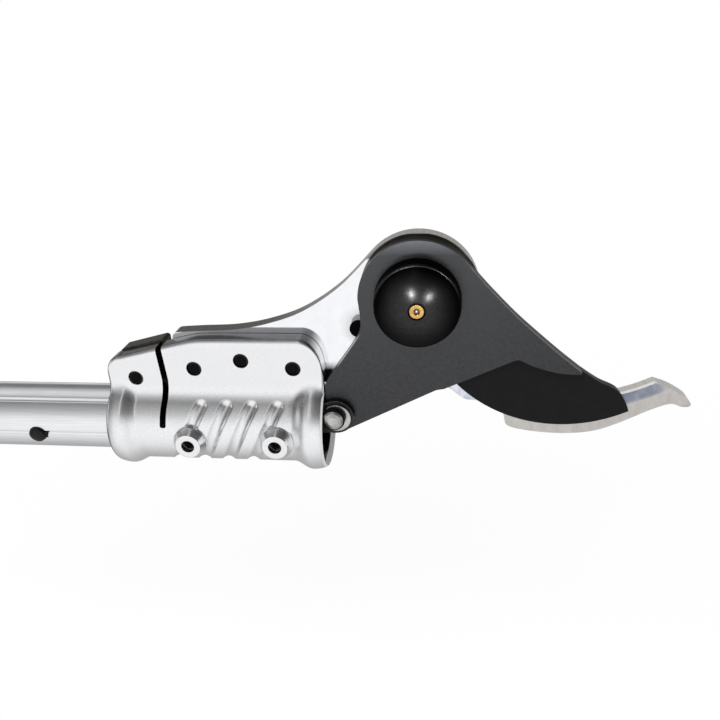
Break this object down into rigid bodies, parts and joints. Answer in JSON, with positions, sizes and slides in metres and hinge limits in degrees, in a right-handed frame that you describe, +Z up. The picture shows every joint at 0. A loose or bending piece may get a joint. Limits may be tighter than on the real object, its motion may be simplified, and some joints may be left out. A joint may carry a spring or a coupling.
{
  "type": "electric pole pruner head",
  "caption": "Powered pruning head on its pole: a swinging blade closes against a fixed hook plate, driven by a rod inside the tube.",
  "frame": {"origin": "centre of the pole's open rear end, on the pole's axis", "axes": "+X along the pole towards the hook, +Z up towards the blade's pivot, -Y towards the side with the pivot cap"},
  "size_m": [0.3262, 0.0392, 0.0938],
  "materials": {
    "extruded_aluminium": "satin extruded",
    "cast_aluminium": "satin cast",
    "polished_steel": "mirror polished",
    "turned_steel": "turned",
    "blackened_steel": "satin black",
    "dark_lever_coating": "matte dark grey",
    "black_blade_coating": "satin black low-friction coating",
    "brass": "turned",
    "black_rubber": "matte",
    "black_plastic": "moulded",
    "bearing_plastic": "moulded"
  },
  "bodies": {
    "pole": {"pole_tube": "extruded_aluminium", "pole_socket": "cast_aluminium", "socket_spacer": "turned_steel", "hook_plate": "polished_steel", "frame_rivet_1": "blackened_steel", "frame_rivet_2": "blackened_steel", "frame_rivet_3": "blackened_steel", "frame_rivet_4": "blackened_steel", "set_screw_1": "blackened_steel", "set_screw_2": "blackened_steel", "bump_stop": "black_rubber", "pivot_bush": "turned_steel", "pivot_cap": "blackened_steel", "ball_oiler": "brass", "oiler_ball": "turned_steel", "pivot_washer": "turned_steel", "pivot_bolt": "turned_steel", "rod_bush": "bearing_plastic", "bearing_holder": "turned_steel", "ball_bearing": "turned_steel", "gearbox": "turned_steel", "drive_motor": "blackened_steel"},
    "lever": {"lever_plate": "dark_lever_coating", "cutting_blade": "black_blade_coating", "drive_pin": "turned_steel", "pin_washer": "turned_steel", "pin_circlip": "blackened_steel"},
    "link": {"drive_link": "blackened_steel"},
    "rod": {"rod_fork": "turned_steel", "rod_end_pin": "turned_steel", "push_tube": "turned_steel", "ball_nut": "turned_steel"},
    "screw": {"ball_screw": "turned_steel", "shaft_coupling": "turned_steel", "gearbox_shaft": "turned_steel"},
    "button": {"lock_button": "black_plastic"}
  },
  "joints": [
    {"name": "blade_pivot", "type": "hinge", "parent": "pole", "child": "lever", "pos_m": [0.2266, 0, 0.0529], "axis": [0, -1, 0], "range_deg": [0, 36]},
    {"name": "link_swing", "type": "hinge", "parent": "lever", "child": "link", "pos_m": [0.1962, 0, 0.0072], "axis": [0, -1, 0], "range_deg": [-52, 0]},
    {"name": "rod_slide", "type": "slide", "parent": "pole", "child": "rod", "axis": [1, 0, 0], "range_m": [0, 0.0315]},
    {"name": "screw_turn", "type": "hinge", "parent": "pole", "child": "screw", "pos_m": [0.1, 0, 0], "axis": [1, 0, 0], "range_deg": [-1125, 0]},
    {"name": "button_press", "type": "slide", "parent": "pole", "child": "button", "axis": [0, 0.9863, 0.165], "range_m": [0, 0.0022], "stiffness_N_per_m": 800}
  ],
  "couplings": [
    {"joint": "link_swing", "follows": "blade_pivot", "ratio": -1.43},
    {"joint": "rod_slide", "follows": "blade_pivot", "m_per_rad": 0.0495},
    {"joint": "screw_turn", "follows": "blade_pivot", "ratio": -31.1}
  ]
}
